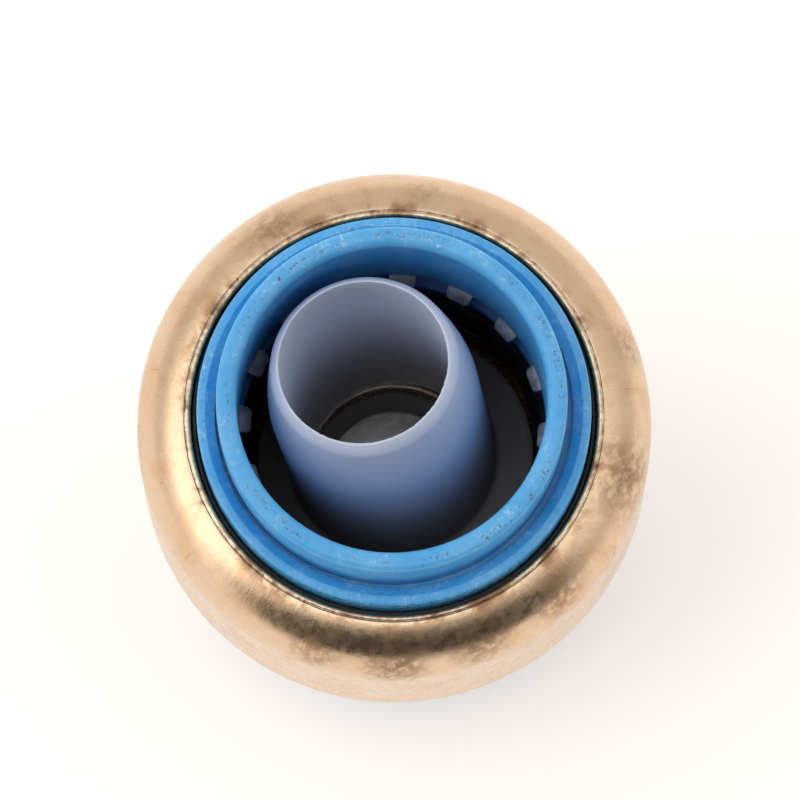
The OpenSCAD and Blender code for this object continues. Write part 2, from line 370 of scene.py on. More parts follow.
@dataclass(frozen=True)
class Place:
    """Sockets that say where a point of the coupling is, in millimetres, and the patterns laid out from them."""

    tree: bpy.types.NodeTree
    point: Any
    x: Any
    y: Any
    z: Any
    radius: Any
    height: Any

    @classmethod
    def on(cls, tree: bpy.types.NodeTree) -> "Place":
        """Reads Object coordinates, which are the frame's own because every piece sits at the origin."""
        coords = add(tree, "TexCoord", out="Object")
        point = add(tree, "VectorMath", {0: coords, "Scale": 1.0 / MM}, operation="SCALE")
        x, y, z = (add(tree, "SeparateXYZ", {0: point}, out=k) for k in range(3))
        flat = add(tree, "CombineXYZ", {0: x, 1: y})
        radius = add(tree, "VectorMath", {0: flat}, out="Value", operation="LENGTH")
        return cls(tree, point, x, y, z, radius, add(tree, "Math", {0: z}, operation="ABSOLUTE"))

    def product(self, *shares: Any) -> Any:
        """Socket of several shares multiplied."""
        result = shares[0]
        for share in shares[1:]:
            result = add(self.tree, "Math", {0: result, 1: share}, operation="MULTIPLY")
        return result

    def stretched(self, along: float, across: float) -> Any:
        """Vector for a pattern of strokes that run round the axis.

        It is the direction from the axis times along, so that it changes slowly
        round a turn, with radius plus height times across as its third part.
        """
        flat = add(self.tree, "CombineXYZ", {0: self.x, 1: self.y})
        way = add(self.tree, "VectorMath", {0: flat}, operation="NORMALIZE")
        depth = self.product(add(self.tree, "Math", {0: self.radius, 1: self.height}, operation="ADD"), across)
        rise = add(self.tree, "CombineXYZ", {2: depth})
        return add(self.tree, "VectorMath", {0: way, 1: (along,) * 3, 2: rise}, operation="MULTIPLY_ADD")

    def patterned(self, *patterns: Pattern) -> list[Any]:
        """Sockets of several patterns, each between zero and one, and mostly near a half."""
        return [add(self.tree, "TexNoise", {
            "Vector": self.stretched(p.along, p.across) if p.along else self.point, "Scale": 1.0 / p.size_mm,
            "Detail": p.detail, "Roughness": p.contrast, "Distortion": p.swirl}) for p in patterns]

    def coated(self, colour: str, coats: list[tuple[Any, str]]) -> Any:
        """Colour socket of a first colour under coats, each a share and a colour."""
        result: Any = linear(colour)
        for share, coat in coats:
            result = add(self.tree, "Mix", {0: share, 6: result, 7: linear(coat)}, out=2, data_type="RGBA")
        return result

    def relief(self, *layers: tuple[Any, float, float]) -> Any:
        """Normal socket of layers laid one over another, each a height, its depth in millimetres and a strength."""
        under: dict[str, Any] = {}
        for height, depth_mm, strength in layers:
            under = {"Normal": add(self.tree, "Bump", {
                "Height": height, "Distance": depth_mm * MM, "Strength": strength, **under})}
        return under["Normal"]

    def near_radius(self, radius: float, half_width: float) -> Any:
        """One at a radius, falling smoothly to zero half_width away."""
        off = add(self.tree, "Math", {0: self.radius, 1: radius}, operation="SUBTRACT")
        away = add(self.tree, "Math", {0: off}, operation="ABSOLUTE")
        return add(self.tree, "MapRange", {0: away, 1: 0.0, 2: half_width, 3: 1.0, 4: 0.0}, **SMOOTH)

    def near_dark_spot(self, dark_spot: TarnishAndReflectionSpot) -> Any:
        """One in a dark spot's middle, falling smoothly to zero at its edge."""
        t = math.radians(dark_spot.angle_deg)
        spot = (dark_spot.radius * math.cos(t), dark_spot.radius * math.sin(t), dark_spot.height)
        away = add(self.tree, "VectorMath", {0: self.point, 1: spot}, out="Value", operation="DISTANCE")
        return add(self.tree, "MapRange", {0: away, 1: 0.0, 2: dark_spot.half_width, 3: 1.0, 4: 0.0}, **SMOOTH)


# ---------------------------------------------------------------- finishes


@dataclass(frozen=True)
class TurnedBrass:
    """Low lead brass, turned and tumbled, then handled: satin, with a patchy brown band beside the rolled lip that is
    partly tarnish and partly painted dark reflection.

    The eye sees soft mirror images of the room, fine strokes across the
    rounded end where it was polished, and a burnished, dented rim at the lip.
    """

    clean: str = "#DBBE9F"
    warm: str = "#D2A273"
    # Colour of the tarnish and of the painted dark reflection.
    brown: str = "#6E4A2E"
    dark: str = "#3A2A20"
    rough: float = 0.27
    lip_radius: float = 10.75
    # Soft brown spots on the bell: tarnish smudges, and on the side towards the camera painted dark reflection.
    tarnish_and_reflection_spots: tuple[TarnishAndReflectionSpot, ...] = ()

    def build(self) -> bpy.types.Material:
        """Makes the material."""
        material, tree = new_material("turned_brass_tarnished")
        at = Place.on(tree)
        lip = self.lip_radius
        strokes, rings, cloud, mottle, grain = at.patterned(
            Pattern(1.0, 3.0, 0.6, along=130.0, across=1.2), Pattern(1.0, 4.0, 0.6, along=3.0, across=9.0),
            Pattern(2.6, 5.0, 0.6, 0.4), Pattern(0.55, 6.0, 0.65, 0.3), Pattern(0.16, 3.0, 0.6))
        # The patchy brown band beside the lip on the upper bell, and the soft spots, are partly tarnish and partly
        # painted dark reflection; the brass is also rougher there.
        beside_lip = add(tree, "MapRange", {0: at.radius, 1: lip + 0.3, 2: lip + 1.2, 3: 1.0, 4: 0.0}, **SMOOTH)
        past_lip = add(tree, "MapRange", {0: at.radius, 1: lip - 0.3, 2: lip - 0.1}, **SMOOTH)
        upper_bell = add(tree, "MapRange", {0: at.z, 1: 10.0, 2: 13.0}, **SMOOTH)
        uneven = add(tree, "Math", {0: mottle, 1: 0.35, 2: cloud}, operation="MULTIPLY_ADD")
        lip_patch = add(tree, "MapRange", {0: uneven, 1: 0.6, 2: 0.82}, **SMOOTH)
        tarnish_and_reflection = at.product(beside_lip, past_lip, upper_bell, lip_patch)
        blotchy = add(tree, "MapRange", {0: mottle, 1: 0.3, 2: 0.62}, **SMOOTH)
        for dark_spot in self.tarnish_and_reflection_spots:
            soft = at.product(at.near_dark_spot(dark_spot), blotchy, dark_spot.strength)
            tarnish_and_reflection = add(tree, "Math", {0: tarnish_and_reflection, 1: soft}, operation="MAXIMUM")
        warmth = add(tree, "MapRange", {0: cloud, 1: 0.42, 2: 0.7, 4: 0.45}, **SMOOTH)
        scratches = at.product(add(tree, "MapRange", {0: strokes, 1: 0.6, 2: 0.68}, **SMOOTH),
                               add(tree, "MapRange", {0: cloud, 1: 0.5, 2: 0.62}, **SMOOTH), 0.35)
        # A thin, patchy darker line along the shallow groove just outside the lip.
        groove_darkening = at.product(at.near_radius(lip + 0.3, 0.09),
                          add(tree, "MapRange", {0: mottle, 1: 0.42, 2: 0.62, 3: 0.05, 4: 0.7}, **SMOOTH))
        satin = add(tree, "MapRange", {0: mottle, 1: 0.3, 2: 0.75, 3: self.rough - 0.05, 4: self.rough + 0.1}, **SMOOTH)
        return finished(material, {
            "Base Color": at.coated(self.clean, [(warmth, self.warm), (at.product(tarnish_and_reflection, 0.75), self.brown),
                                                 (scratches, self.dark), (groove_darkening, self.dark)]),
            "Roughness": add(tree, "Math", {0: tarnish_and_reflection, 1: 0.16, 2: satin}, operation="MULTIPLY_ADD"),
            "Normal": at.relief((cloud, 0.05, 0.5), (grain, 0.012, 0.5), (strokes, 0.01, 0.45), (rings, 0.006, 0.4)),
            "Metallic": 1.0})


@dataclass(frozen=True)
class MouldedPlastic:
    """A moulded plastic ring, such as acetal: a tight satin skin that a little light sinks into.

    Fine drag lines run round it, its edges are rubbed paler, and the ring on
    which a tool or a tube has rubbed carries brown and pale specks. A part deep
    in the socket gets painted shade: a darker colour that thickens from one
    height down to another, standing in for the light that fades down the socket.
    """

    name: str
    colour: str
    rubbed: str
    speck: str = "#5A4632"
    scuffed: str = "#CFE6F6"
    rough: float = 0.34
    under_skin: float = 0.12
    ior: float = 1.48
    speck_radius: float = 0.0
    speck_width: float = 0.3
    speck_share: float = 0.0
    line_depth: float = 0.006
    # Painted shade deep in the socket: its colour, the height where it begins, the height where it is full, and its
    # share there.
    depth_shade: str = ""
    depth_shade_from: float = 12.0
    depth_shade_full: float = 3.0
    depth_shade_share: float = 0.93

    def build(self) -> bpy.types.Material:
        """Makes the material."""
        material, tree = new_material(self.name)
        at = Place.on(tree)
        cloud, lines, grain, rub = at.patterned(
            Pattern(1.8, 4.0, 0.55), Pattern(1.0, 4.0, 0.6, along=5.0, across=11.0), Pattern(0.12, 3.0, 0.55),
            Pattern(0.45, 5.0, 0.7, 0.5))
        worn = add(tree, "MapRange", {0: cloud, 1: 0.42, 2: 0.62, 3: 0.08, 4: 0.75}, **SMOOTH)
        coats = [(add(tree, "MapRange", {0: cloud, 1: 0.35, 2: 0.7, 4: 0.22}, **SMOOTH), self.rubbed),
                 (at.product(add(tree, "MapRange", {0: rub, 1: 0.56, 2: 0.7}, **SMOOTH), worn), self.rubbed)]
        if self.speck_share > 0.0:
            flecks, scuffs, patches = at.patterned(
                Pattern(1.0, 3.0, 0.7, 0.3, 42.0, 5.5), Pattern(1.0, 4.0, 0.75, 0.6, 26.0, 3.2),
                Pattern(2.4, 2.0, 0.5))
            bright = add(tree, "MapRange", {0: scuffs, 1: 0.6, 2: 0.66}, **SMOOTH)
            marks = add(tree, "MapRange", {0: flecks, 1: 0.56, 2: 0.6}, **SMOOTH)
            patchy = add(tree, "MapRange", {0: patches, 1: 0.4, 2: 0.52}, **SMOOTH)
            band = at.near_radius(self.speck_radius, self.speck_width)
            coats += [(at.product(bright, worn, 0.7), self.scuffed),
                      (at.product(marks, band, patchy, self.speck_share), self.speck)]
        # Painted shade: darker towards the foot, standing in for the light that fades deep in the socket.
        if self.depth_shade:
            coats.append((add(tree, "MapRange", {0: at.height, 1: self.depth_shade_full, 2: self.depth_shade_from,
                                                 3: self.depth_shade_share, 4: 0.0}, **SMOOTH), self.depth_shade))
        return finished(material, {
            "Base Color": at.coated(self.colour, coats),
            "Roughness": add(tree, "MapRange", {0: rub, 1: 0.3, 2: 0.75, 3: self.rough - 0.06,
                                                4: self.rough + 0.14}, **SMOOTH),
            "Normal": at.relief((lines, self.line_depth, 0.6), (grain, 0.005, 0.5), (rub, 0.012, 0.35)),
            "IOR": self.ior, "Subsurface Weight": self.under_skin, "Subsurface Radius": (0.6, 0.9, 1.2),
            "Subsurface Scale": MM})


@dataclass(frozen=True)
class SpringSteel:
    """Stamped stainless spring steel: grey, tumbled dull, with brighter patches."""

    clean: str = "#C2C2C8"
    dull: str = "#97979D"
    rough: float = 0.48

    def build(self) -> bpy.types.Material:
        """Makes the material."""
        material, tree = new_material("stamped_spring_steel")
        at = Place.on(tree)
        cloud, grain = at.patterned(Pattern(0.8, 4.0, 0.6), Pattern(0.09, 3.0, 0.6))
        return finished(material, {
            "Base Color": at.coated(self.dull, [(add(tree, "MapRange", {0: cloud, 1: 0.35, 2: 0.65}, **SMOOTH),
                                                 self.clean)]),
            "Roughness": add(tree, "MapRange", {0: grain, 1: 0.3, 2: 0.7, 3: self.rough - 0.08,
                                                4: self.rough + 0.12}, **SMOOTH),
            "Metallic": 0.8, "Normal": at.relief((grain, 0.008, 0.6))})


@dataclass(frozen=True)
class MouldedRubber:
    """Moulded rubber: nearly black, with a dusty bloom and a soft broad shine."""

    name: str
    colour: str
    bloom: str
    rough: float = 0.5
    bloom_share: float = 0.3

    def build(self) -> bpy.types.Material:
        """Makes the material."""
        material, tree = new_material(self.name)
        at = Place.on(tree)
        cloud, grain = at.patterned(Pattern(1.3, 5.0, 0.65), Pattern(0.1, 3.0, 0.6))
        dusty = add(tree, "MapRange", {0: cloud, 1: 0.4, 2: 0.72, 4: self.bloom_share}, **SMOOTH)
        return finished(material, {
            "Base Color": at.coated(self.colour, [(dusty, self.bloom)]),
            "Roughness": add(tree, "MapRange", {0: cloud, 1: 0.3, 2: 0.7, 3: self.rough - 0.08,
                                                4: self.rough + 0.1}, **SMOOTH),
            "IOR": 1.52, "Normal": at.relief((grain, 0.008, 0.5))})


# ---------------------------------------------------------------- sizes from the frame


@dataclass(frozen=True)
class Span:
    """A round node's size in millimetres: its nearest and farthest from the plane z = 0, and its outer radius."""

    foot: float
    top: float
    reach: float

    @classmethod
    def of(cls, node: str) -> "Span":
        """Reads a node's box from the frame."""
        low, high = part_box(node)
        near, far = sorted((abs(low.z) / MM, abs(high.z) / MM))
        return cls(near, far, (high.x - low.x) / 2.0 / MM)


@dataclass(frozen=True)
class Sizes:
    """Sizes that several pieces share, in millimetres, read from the frame."""

    body: Span
    collar: Span
    ring: Span
    gasket: Span
    seat: Span
    washer: Span
    seal: Span
    flange_r: float
    liner_top: float
    collar_shift: tuple[float, float]
    stop_top: float
    reduction: float

    @classmethod
    def read(cls) -> "Sizes":
        """Reads the upper end's nodes, and the upright liner from the smaller lower one."""
        low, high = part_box("upper_release_collar")
        seal, liner = Span.of("upper_o_ring"), Span.of("lower_tube_liner")
        reduction = Span.of("lower_o_ring").reach / seal.reach
        return cls(
            body=Span.of("brass_body"), collar=Span.of("upper_release_collar"),
            ring=Span.of("upper_retaining_ring"), gasket=Span.of("upper_lip_gasket"),
            seat=Span.of("upper_grab_ring_seat"), washer=Span.of("upper_seal_washer"), seal=seal,
            flange_r=liner.reach / reduction,
            liner_top=(liner.top - (1.0 - reduction) * liner.foot) / reduction,
            collar_shift=((low.x + high.x) / 2.0 / MM, (low.y + high.y) / 2.0 / MM),
            stop_top=liner.foot, reduction=reduction)

    def lowered(self, outline: np.ndarray) -> np.ndarray:
        """The lower end's outline: each radius is made smaller, and so is each distance from the stop's face."""
        return np.stack([self.reduction * outline[:, 0],
                         -self.reduction * outline[:, 1] - (1.0 - self.reduction) * self.stop_top], 1)

    def settle(self, piece: bpy.types.Object, end: End) -> None:
        """Makes a piece of the lower end smaller, about the middle of the stop's lower face."""
        if end is End.LOWER:
            drop = Matrix.Translation((0.0, 0.0, (self.reduction - 1.0) * self.stop_top * MM))
            moved(piece, drop @ Matrix.Scale(self.reduction, 4))


# ---------------------------------------------------------------- pieces


def dress(piece: bpy.types.Object, material: bpy.types.Material, body: str, node: str) -> bpy.types.Object:
    """Gives a piece its material and body, and hides the CAD node that it stands for."""
    piece.data.materials.append(material)
    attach(piece, body)
    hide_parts(node)
    LOG.info("%s: %d faces, rides on %s", piece.name, len(piece.data.polygons), body)
    return piece


@dataclass
class BrassBody:
    """The turned body: two bells with rolled lips, a sloping waist, and the stop inside."""

    sizes: Sizes
    lip_r: float = 10.7475
    lip_thick: float = 1.2
    nose_height: float = 3.3
    bell_length: float = 11.4
    bell_wall: float = 1.8
    waist_r: float = 10.2475
    waist_round: float = 2.0
    guide_r: float = 8.0475
    stop_r: float = 4.8
    pocket_r: float = 10.0975
    rim_width: float = 0.4
    segments: int = 540

    def outside(self) -> np.ndarray:
        """Outline of the upper bell's outside, from the waist up to the lip's edge."""
        s = self.sizes
        back = s.body.top - self.bell_length
        nose = (self.lip_r, s.body.top - self.nose_height)
        width = s.body.reach - self.lip_r
        rim_end = math.degrees(math.acos(self.rim_width / width))
        hollow = arc((self.waist_r + self.waist_round, back - self.waist_round), (self.waist_round,) * 2, 180, 90, 9)
        edge = arc((s.body.reach - 0.8, back + 0.8), (0.8, 0.8), -90, 0, 8)
        wall = np.array([[s.body.reach, z] for z in np.linspace(back + 1.3, nose[1] - 0.5, 12)])
        rounded_end = arc(nose, (width, self.nose_height), 0, rim_end, 30)
        rim = np.array([
            [self.lip_r + 0.36, s.body.top - 0.03], [self.lip_r + 0.33, s.body.top - 0.06],
            [self.lip_r + 0.29, s.body.top - 0.05], [self.lip_r + 0.25, s.body.top - 0.01],
            [self.lip_r + 0.18, s.body.top], [self.lip_r + 0.1, s.body.top - 0.01],
            [self.lip_r + 0.04, s.body.top - 0.05], [self.lip_r, s.body.top - 0.12]])
        return np.vstack([hollow, edge, wall, rounded_end, rim])

    def inside(self) -> np.ndarray:
        """Outline of the upper socket, from the lip's edge down to the stop's face."""
        s = self.sizes
        under = s.body.top - self.lip_thick
        wall_r = s.body.reach - self.bell_wall
        corner = arc((wall_r - 0.7, under - 0.7), (0.7, 0.7), 90, 0, 4)
        return np.vstack([
            [[self.lip_r, under + 0.6], [self.lip_r, under]], corner,
            [[wall_r, s.washer.foot + 2.0], [wall_r, s.washer.foot], [self.pocket_r, s.washer.foot],
             [self.pocket_r, s.seal.foot], [self.guide_r + 0.3, s.seal.foot], [self.guide_r, s.seal.foot - 0.3],
             [self.guide_r, s.stop_top + 2.0], [self.guide_r, s.stop_top + 0.15],
             [self.guide_r - 0.15, s.stop_top]]])

    def wear(self, t: np.ndarray, r: np.ndarray, z: np.ndarray) -> tuple[np.ndarray, np.ndarray]:
        """Dents in the rolled rim and a slight wobble of the lip, as waves round the axis times a hill at the rim."""
        turn = t[:, :1]
        at_rim = bump(np.abs(z), self.sizes.body.top, 0.3) * bump(r, self.lip_r + 0.15, 0.3)
        side = np.sign(z)
        rough = 0.028 * waves(turn, 60, 290, 40, 11) + 0.012 * waves(turn, 5, 30, 8, 12)
        at_edge = bump(r, self.lip_r, 0.12) * bump(np.abs(z), self.sizes.body.top - 0.3, 0.9)
        inner = 0.02 * waves(turn, 20, 250, 40, 13) * at_edge
        return inner, side * (at_rim * (rough - 0.03))

    def build(self, material: bpy.types.Material) -> bpy.types.Object:
        """Builds the whole body as one closed surface, with a cone between the two bells."""
        s = self.sizes
        upper = np.vstack([self.outside(), self.inside()])
        lower = s.lowered(upper)
        stop = np.array([[self.stop_r + 0.15, s.stop_top], [self.stop_r, s.stop_top - 0.15],
                         [self.stop_r, 0.15 - s.stop_top], [self.stop_r + 0.15, -s.stop_top]])
        cone = np.linspace(lower[0], upper[0], 7)[1:-1]
        outline = np.vstack([upper, stop, lower[::-1], cone])
        piece = revolved("brass_body_skin", outline, self.segments, shift=self.wear)
        return dress(piece, material, "fitting", "brass_body")


@dataclass
class ReleaseCollar:
    """The collar that is pushed in: a thin sleeve with a bead, a ramped foot and rounded end face."""

    sizes: Sizes
    wall: float = 1.05
    bead_step: float = 0.5
    bead_lift: float = 2.1
    segments: int = 480

    def build(self, end: End, material: bpy.types.Material) -> bpy.types.Object:
        """Builds one collar, shifted to one side of its clearance as the frame says."""
        s = self.sizes
        outer = s.collar.reach - self.bead_step
        inner = outer - self.wall
        foot_z = s.collar.foot
        bead_foot = s.ring.foot + self.bead_lift
        corners = [
            (inner + 0.05, foot_z, 0.03), (inner + 0.15, foot_z, 0.03), (outer, foot_z + 0.9, 0.15),
            (outer, bead_foot - 0.2, 0.05), (s.collar.reach, bead_foot + 0.2, 0.05),
            (s.collar.reach, bead_foot + 0.5, 0.05), (outer, bead_foot + 0.5, 0.03),
            (outer, s.collar.top, 0.3), (inner, s.collar.top, 0.45), (inner, foot_z + 1.1, 0.03),
            (inner + 0.05, foot_z + 1.05, 0.02)]
        outline = stepped(rounded(corners, 7), 0.28)

        def uneven(t: np.ndarray, r: np.ndarray, z: np.ndarray) -> tuple[np.ndarray, np.ndarray]:
            """Soft dents of the rubbed end face."""
            face = bump(z, s.collar.top, 0.25)
            return 0.0 * r, face * (0.006 * waves(t[:, :1], 3, 40, 14, 21) - 0.006)

        piece = revolved(end.node("collar_skin"), outline, self.segments, end, uneven)
        moved(piece, Matrix.Translation((s.collar_shift[0] * MM, s.collar_shift[1] * MM, 0.0)))
        s.settle(piece, end)
        return dress(piece, material, end.node("collar"), end.node("release_collar"))


@dataclass
class RetainingRing:
    """The ring under the rolled lip: a hidden shoulder, a recess for the bead and a dished top."""

    sizes: Sizes
    wall: float = 0.95
    outer_r: float = 10.3975
    recess_r: float = 9.8975
    shoulder: float = 0.6
    flat: float = 0.45
    dish: float = 0.45
    segments: int = 480

    def build(self, end: End, material: bpy.types.Material) -> bpy.types.Object:
        """Builds one ring."""
        s = self.sizes
        bore = self.outer_r - self.wall
        recess_top = s.ring.foot + 2.7
        corners = [
            (self.recess_r, s.ring.foot, 0.04), (s.ring.reach, s.ring.foot, 0.06),
            (s.ring.reach, s.ring.foot + self.shoulder, 0.06), (self.outer_r, s.ring.foot + self.shoulder, 0.05),
            (self.outer_r, s.ring.top, 0.13), (self.outer_r - self.flat, s.ring.top, 0.12),
            (bore, s.ring.top - self.dish, 0.05), (bore, recess_top, 0.03), (self.recess_r, recess_top, 0.03)]
        piece = revolved(end.node("retaining_ring_skin"), stepped(rounded(corners, 6), 0.25), self.segments, end)
        s.settle(piece, end)
        return dress(piece, material, end.node("cartridge"), end.node("retaining_ring"))


@dataclass
class LipGasket:
    """The black rubber ring under the lip, with a thin edge that stands up in the gap."""

    sizes: Sizes
    inner_r: float = 10.4475
    edge: float = 0.25
    edge_height: float = 0.5
    segments: int = 400

    def build(self, end: End, material: bpy.types.Material) -> bpy.types.Object:
        """Builds one gasket, whose thin edge waves a little."""
        s = self.sizes
        step = s.gasket.top - self.edge_height
        corners = [
            (self.inner_r, s.gasket.foot, 0.05), (s.gasket.reach, s.gasket.foot, 0.05), (s.gasket.reach, step, 0.05),
            (self.inner_r + self.edge, step, 0.03), (self.inner_r + self.edge, s.gasket.top, 0.08),
            (self.inner_r, s.gasket.top, 0.08)]

        def wavy(t: np.ndarray, r: np.ndarray, z: np.ndarray) -> tuple[np.ndarray, np.ndarray]:
            """The edge dips by a few hundredths as it goes round."""
            return 0.0 * r, bump(z, s.gasket.top, 0.4) * (0.02 * waves(t[:, :1], 2, 18, 8, 31) - 0.02)

        piece = revolved(end.node("gasket_skin"), stepped(rounded(corners, 5), 0.2), self.segments, end, wavy)
        s.settle(piece, end)
        return dress(piece, material, "fitting", end.node("lip_gasket"))


@dataclass
class GrabRing:
    """The spring steel ring: a flat flange whose inner edge is cut into slanting teeth."""

    sizes: Sizes
    teeth: int = 16
    tooth_deg: float = 9.9
    phase_deg: float = 4.4
    tip_r: float = 7.6775
    root_r: float = 9.5975
    thick: float = 0.35
    slope_deg: float = 30.0
    corner: float = 0.27

    def contour(self) -> tuple[np.ndarray, np.ndarray, np.ndarray]:
        """Inner edge of the ring over one pitch, with the angle at which each point's line meets the outside.

        Going round, the edge follows the root circle, goes in along one side of a
        tooth, round its corner, along its tip, and back out. Tooth corners are
        quarter circles of radius corner.

        Returns:
            Radii, angles and outer angles in radians, measured from the tooth's middle.
        """
        half = math.radians(self.tooth_deg / 2.0)
        pitch = 2.0 * math.pi / self.teeth
        c = self.corner
        round_t = np.linspace(0.0, math.pi / 2.0, 8)
        gap = np.linspace(-pitch / 2.0, -half, 7)[:-1]
        side_r = np.linspace(self.root_r, self.tip_r + c, 10)
        corner_r = self.tip_r + c - c * np.sin(round_t)[1:]
        corner_a = -half + (c - c * np.cos(round_t)[1:]) / self.tip_r
        tip_a = np.linspace(corner_a[-1], 0.0, 7)[1:]
        r = np.concatenate([np.full(len(gap), self.root_r), side_r, corner_r, np.full(len(tip_a), self.tip_r)])
        a = np.concatenate([gap, np.full(len(side_r), -half), corner_a, tip_a])
        lag = np.concatenate([np.zeros(len(gap)), np.linspace(0.0, 0.35 * half, len(side_r)),
                              np.full(len(corner_r) + len(tip_a), 0.35 * half)])
        outer = a + lag * (1.0 - np.clip((a + half) / half, 0.0, 1.0))
        outer = np.maximum.accumulate(outer)
        return (np.concatenate([r, r[-2:0:-1]]), np.concatenate([a, -a[-2:0:-1]]),
                np.concatenate([outer, -outer[-2:0:-1]]))

    def build(self, end: End, material: bpy.types.Material) -> bpy.types.Object:
        """Builds one ring, whose teeth slope away from its flat flange.

        The surface is a grid of contour point by position on the steel's section:
        across the top from the outside to the inner edge, over the edge as a half
        circle, and back underneath.
        """
        s = self.sizes
        r_edge, a_edge, a_out = self.contour()
        turns = np.arange(self.teeth)[:, None] * 2.0 * math.pi / self.teeth + math.radians(self.phase_deg)
        r_edge = np.tile(r_edge, self.teeth)
        a_edge = (turns + a_edge[None, :]).ravel()
        a_out = (turns + a_out[None, :]).ravel()
        flat = s.ring.foot - self.thick / 2.0
        share = np.concatenate([np.linspace(0.0, 1.0, 12), np.ones(4), np.linspace(1.0, 0.0, 12)])
        level = np.concatenate([np.full(12, 0.5), 0.5 * np.cos(np.linspace(0.0, math.pi, 6)[1:-1]), np.full(12, -0.5)])
        bulge = np.concatenate([np.zeros(12), 0.04 * np.sin(np.linspace(0.0, math.pi, 6)[1:-1]), np.zeros(12)])
        r = s.ring.reach + (r_edge[:, None] - s.ring.reach) * share[None, :] - bulge[None, :]
        a = a_out[:, None] + (a_edge - a_out)[:, None] * share[None, :]
        middle = flat - np.maximum(0.0, self.root_r - r) * math.tan(math.radians(self.slope_deg))
        z = (middle + level[None, :] * self.thick) * end.value
        points = np.stack([r * np.cos(a), r * np.sin(a), z], -1).reshape(-1, 3)
        piece = make_mesh(end.node("grab_ring_skin"), points, ring_quads(len(r_edge), len(share)))
        s.settle(piece, end)
        piece.data.materials.append(material)
        span = np.array([[0.0, flat - self.thick / 2.0 - 0.03], [0.0, flat - 0.8]])
        levels = (span if end is End.UPPER else s.lowered(span))[:, 1] * MM
        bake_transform(piece)
        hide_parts(end.node("grab_ring"))
        LOG.info("%s: %d faces, bends between cartridge and collar", piece.name, len(piece.data.polygons))
        return piece


@dataclass
class HiddenRings:
    """The seat under the teeth, the washer and the o-ring, seen only down the socket."""

    sizes: Sizes
    seat_in_r: float = 8.1975
    seat_wide_r: float = 9.6945
    washer_in_r: float = 8.1475
    segments: int = 320

    def seat(self, end: End, material: bpy.types.Material) -> bpy.types.Object:
        """Builds the grab ring's seat, with a thin inner wall and a slope outside it."""
        s = self.sizes
        corners = [
            (self.seat_in_r, s.seat.foot, 0.05), (s.ring.reach, s.seat.foot, 0.08), (s.ring.reach, s.seat.top, 0.06),
            (self.seat_wide_r, s.seat.top, 0.05), (self.seat_wide_r, s.seat.foot + 1.0, 0.2),
            (self.seat_in_r, s.seat.foot + 0.5, 0.12)]
        piece = revolved(end.node("seat_skin"), stepped(rounded(corners, 5), 0.3), self.segments, end)
        s.settle(piece, end)
        return dress(piece, material, end.node("cartridge"), end.node("grab_ring_seat"))

    def washer(self, end: End, material: bpy.types.Material) -> bpy.types.Object:
        """Builds the washer that keeps the o-ring in its pocket."""
        s = self.sizes
        corners = [(self.washer_in_r, s.washer.foot, 0.15), (s.washer.reach, s.washer.foot, 0.06),
                   (s.washer.reach, s.washer.top, 0.06), (self.washer_in_r, s.washer.top, 0.25)]
        piece = revolved(end.node("seal_washer_skin"), stepped(rounded(corners, 5), 0.4), self.segments, end)
        s.settle(piece, end)
        return dress(piece, material, "fitting", end.node("seal_washer"))

    def seal(self, end: End, material: bpy.types.Material) -> bpy.types.Object:
        """Builds the o-ring: a circle carried round."""
        s = self.sizes
        half = (s.seal.top - s.seal.foot) / 2.0
        middle = (s.seal.reach - half, s.seal.foot + half)
        outline = arc(middle, (half, half), 0, 360, 48)[:-1]
        piece = revolved(end.node("o_ring_skin"), outline, self.segments, end)
        s.settle(piece, end)
        return dress(piece, material, "fitting", end.node("o_ring"))


